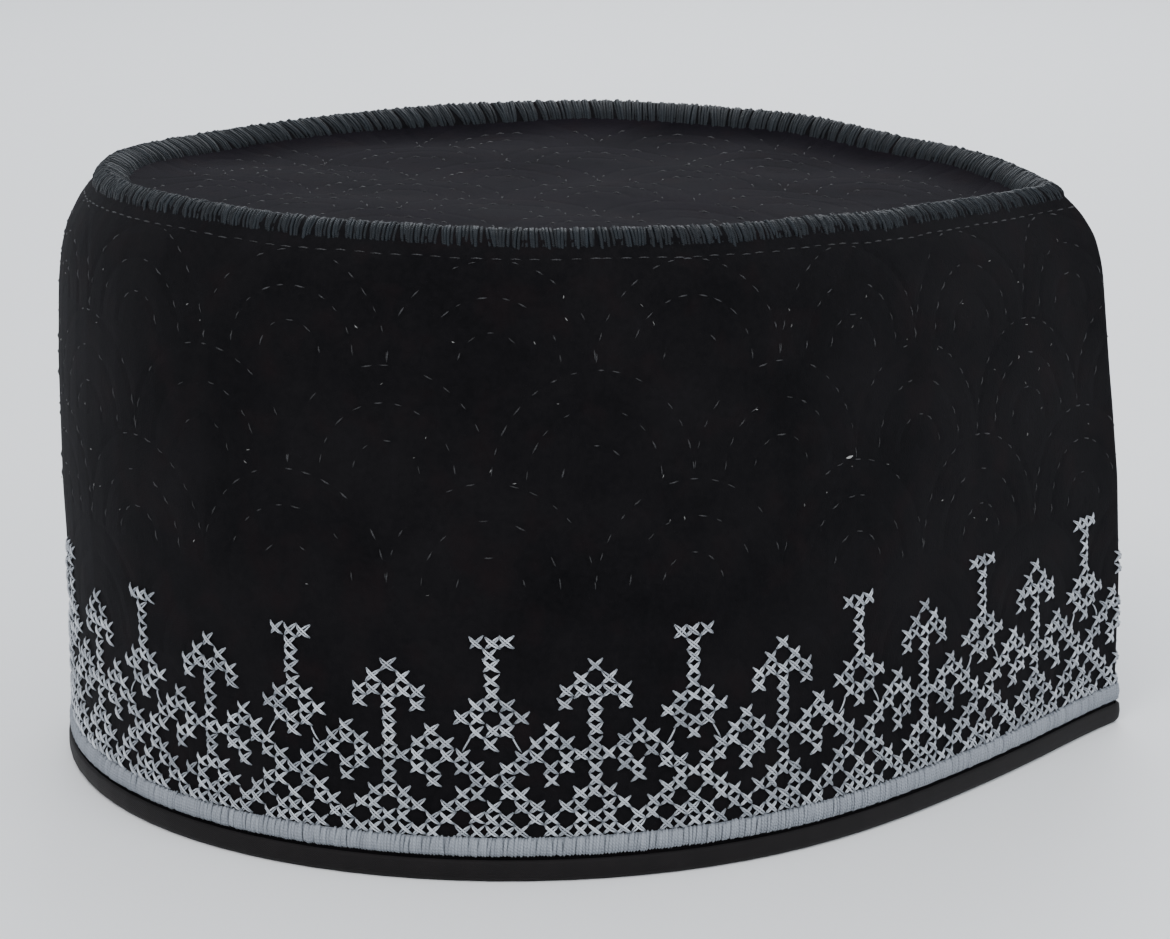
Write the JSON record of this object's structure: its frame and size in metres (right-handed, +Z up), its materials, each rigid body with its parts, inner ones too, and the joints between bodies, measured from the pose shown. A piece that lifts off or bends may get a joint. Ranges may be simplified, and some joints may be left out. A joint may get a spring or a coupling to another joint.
{
  "type": "tubeteika skullcap",
  "caption": "Soft oval skullcap: quilted dark velvet side wall, dished crown, overcast seam, cross-stitched border, thread hem band and dark rim binding; hollow and open below",
  "frame": {"origin": "centre of the bounding box's bottom face, on the flat underside of the rim binding", "axes": "+Z up through the crown, +X along the head's length towards the creased narrow end, -Y the side that is seen"},
  "size_m": [0.2039, 0.1677, 0.1141],
  "materials": {
    "side_wall": "near-black quilted velvet on felt",
    "crown_panel": "near-black velvet with a purplish grey sheen",
    "crown_seam": "glossy dark navy overcast thread",
    "hem_band": "light grey satin stitches",
    "rim_binding": "near-black smooth cloth strip"
  },
  "bodies": {
    "root": {"side_wall": "side_wall", "crown_panel": "crown_panel", "crown_seam": "crown_seam", "hem_band": "hem_band", "rim_binding": "rim_binding"}
  },
  "joints": []
}
